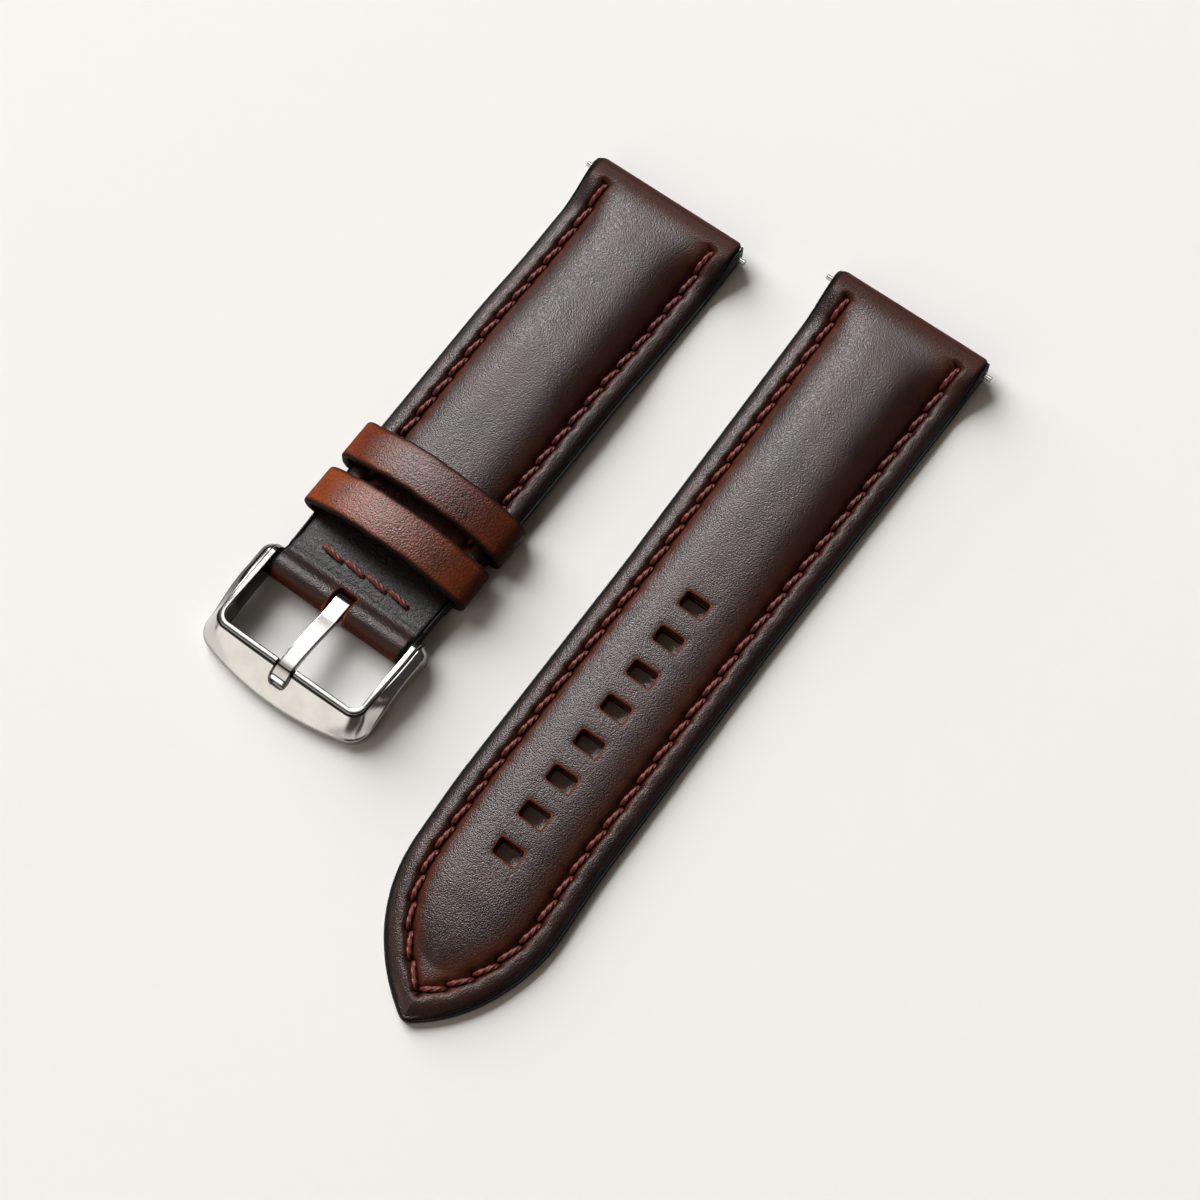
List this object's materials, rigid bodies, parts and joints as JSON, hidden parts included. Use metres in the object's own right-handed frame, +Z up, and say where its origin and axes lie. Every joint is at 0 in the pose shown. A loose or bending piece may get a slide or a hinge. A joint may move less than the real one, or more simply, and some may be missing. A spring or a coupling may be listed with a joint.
{
  "type": "leather watch strap",
  "caption": "Padded leather watch strap in two halves: pin buckle and keepers on the short one, a pointed tail with tongue holes on the other, quick-release lug bars.",
  "frame": {"origin": "on the surface the strap lies on, under the middle of both halves together", "axes": "+X from the lug ends towards the point and the buckle, +Y from the short half towards the long half, +Z up from the lining to the upper"},
  "size_m": [0.117, 0.0638, 0.0077],
  "materials": {
    "upper_leather": "waxed smooth leather, satin",
    "lining_leather": "matt lining leather",
    "filler": "felted filler",
    "thread": "waxed twisted thread",
    "keeper_leather": "burnished leather, satin",
    "polished_steel": "polished steel",
    "bar_steel": "turned steel",
    "spring_wire": "drawn wire"
  },
  "bodies": {
    "short_lug_end": {"short_upper_lug_end": "upper_leather", "short_lining_lug_end": "lining_leather", "short_padding_lug_end": "filler", "short_stitching_left_lug_end": "thread", "short_stitching_right_lug_end": "thread", "short_lug_bar_barrel": "bar_steel", "short_lug_bar_spring": "spring_wire", "short_lug_bar_fixed_tip": "bar_steel"},
    "short_release": {"short_lug_bar_sliding_tip": "bar_steel", "short_lug_bar_lever": "bar_steel"},
    "short_strap": {"short_upper": "upper_leather", "short_lining": "lining_leather", "short_padding": "filler", "short_stitching_left": "thread", "short_stitching_right": "thread", "cross_stitching": "thread", "fixed_keeper": "keeper_leather"},
    "free_keeper": {"free_keeper": "keeper_leather"},
    "buckle": {"buckle_frame": "polished_steel", "buckle_bar_barrel": "bar_steel", "buckle_bar_spring": "spring_wire"},
    "tongue": {"buckle_tongue": "polished_steel"},
    "left_bar_tip": {"buckle_bar_left_tip": "bar_steel"},
    "right_bar_tip": {"buckle_bar_right_tip": "bar_steel"},
    "long_lug_end": {"long_upper_lug_end": "upper_leather", "long_lining_lug_end": "lining_leather", "long_padding_lug_end": "filler", "long_stitching_lug_end": "thread", "long_lug_bar_barrel": "bar_steel", "long_lug_bar_spring": "spring_wire", "long_lug_bar_fixed_tip": "bar_steel"},
    "long_release": {"long_lug_bar_sliding_tip": "bar_steel", "long_lug_bar_lever": "bar_steel"},
    "long_strap": {"long_upper": "upper_leather", "long_lining": "lining_leather", "long_padding": "filler", "long_stitching": "thread"}
  },
  "joints": [
    {"name": "short_half_bend", "type": "hinge", "parent": "short_lug_end", "child": "short_strap", "pos_m": [-0.0392, -0.0185, 0], "axis": [0, 1, 0], "range_deg": [0, 30], "stiffness_Nm_per_rad": 0.01},
    {"name": "long_half_lift", "type": "slide", "parent": "short_lug_end", "child": "long_lug_end", "axis": [0, 0, 1], "range_m": [0, 0.02]},
    {"name": "long_half_bend", "type": "hinge", "parent": "long_lug_end", "child": "long_strap", "pos_m": [-0.03332, 0.0185, 0], "axis": [0, 1, 0], "range_deg": [0, 40], "stiffness_Nm_per_rad": 0.01},
    {"name": "free_keeper_slide", "type": "slide", "parent": "short_strap", "child": "free_keeper", "axis": [-1, 0, 0], "range_m": [0, 0.017]},
    {"name": "buckle_swing", "type": "hinge", "parent": "short_strap", "child": "buckle", "pos_m": [0.02095, -0.0185, 0.00215], "axis": [0, -1, 0], "range_deg": [-40, 40]},
    {"name": "tongue_swing", "type": "hinge", "parent": "buckle", "child": "tongue", "pos_m": [0.02095, -0.0185, 0.00215], "axis": [0, -1, 0], "range_deg": [0, 65]},
    {"name": "buckle_bar_left_tip_press", "type": "slide", "parent": "buckle", "child": "left_bar_tip", "axis": [0, -1, 0], "range_m": [0, 0.0011], "stiffness_N_per_m": 300, "springref_m": -0.001, "deforming": ["buckle_bar_spring"]},
    {"name": "buckle_bar_right_tip_press", "type": "slide", "parent": "buckle", "child": "right_bar_tip", "axis": [0, 1, 0], "range_m": [0, 0.0011], "stiffness_N_per_m": 300, "springref_m": -0.001, "deforming": ["buckle_bar_spring"]},
    {"name": "short_release_lever_slide", "type": "slide", "parent": "short_lug_end", "child": "short_release", "axis": [0, -1, 0], "range_m": [0, 0.0015], "stiffness_N_per_m": 300, "springref_m": -0.001, "deforming": ["short_lug_bar_spring"]},
    {"name": "long_release_lever_slide", "type": "slide", "parent": "long_lug_end", "child": "long_release", "axis": [0, -1, 0], "range_m": [0, 0.0015], "stiffness_N_per_m": 300, "springref_m": -0.001, "deforming": ["long_lug_bar_spring"]}
  ]
}
